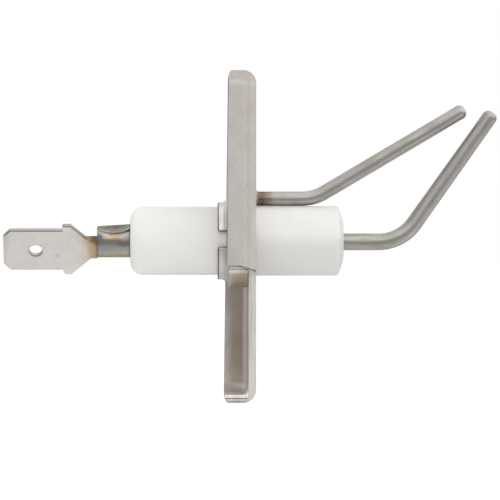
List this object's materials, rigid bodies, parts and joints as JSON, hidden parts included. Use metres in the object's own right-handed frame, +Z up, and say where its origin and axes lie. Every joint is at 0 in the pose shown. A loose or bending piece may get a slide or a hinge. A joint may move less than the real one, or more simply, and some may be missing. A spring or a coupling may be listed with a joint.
{
  "type": "ignition electrode",
  "caption": "Burner ignition electrode: ceramic insulator crimped in a pressed steel bracket, with a bent spark rod, a bent earth rod and a flat push-on terminal.",
  "frame": {"origin": "on the insulator's axis, in the bracket's front face, midway between the two fixing holes", "axes": "+X along the insulator towards the burner, where the rods point; +Z up, along the bracket's longer upper end; the notched side of the bracket is on -Y"},
  "size_m": [0.0666, 0.017, 0.0445],
  "materials": {
    "bracket_steel": "satin, as pressed, with faint mottling",
    "collar_steel": "bright, as drawn",
    "soft_metal": "annealed, matt",
    "ceramic": "white, fired, unglazed and matt",
    "rod_wire": "drawn heat-resistant wire, satin",
    "cement": "off-white potting cement, matt",
    "weld_metal": "brown heat tint round the weld",
    "plated_tab": "satin plating, heat-tinted in bands on the barrel and neck",
    "braze": "dull brazing alloy"
  },
  "bodies": {
    "root": {"bracket": "bracket_steel", "crimp_collar": "collar_steel", "seat_ring": "soft_metal", "insulator": "ceramic", "spark_rod": "rod_wire", "front_cement": "cement", "rear_cement": "cement", "earth_rod": "rod_wire", "earth_weld": "weld_metal", "tab_terminal": "plated_tab", "terminal_braze": "braze"}
  },
  "joints": []
}
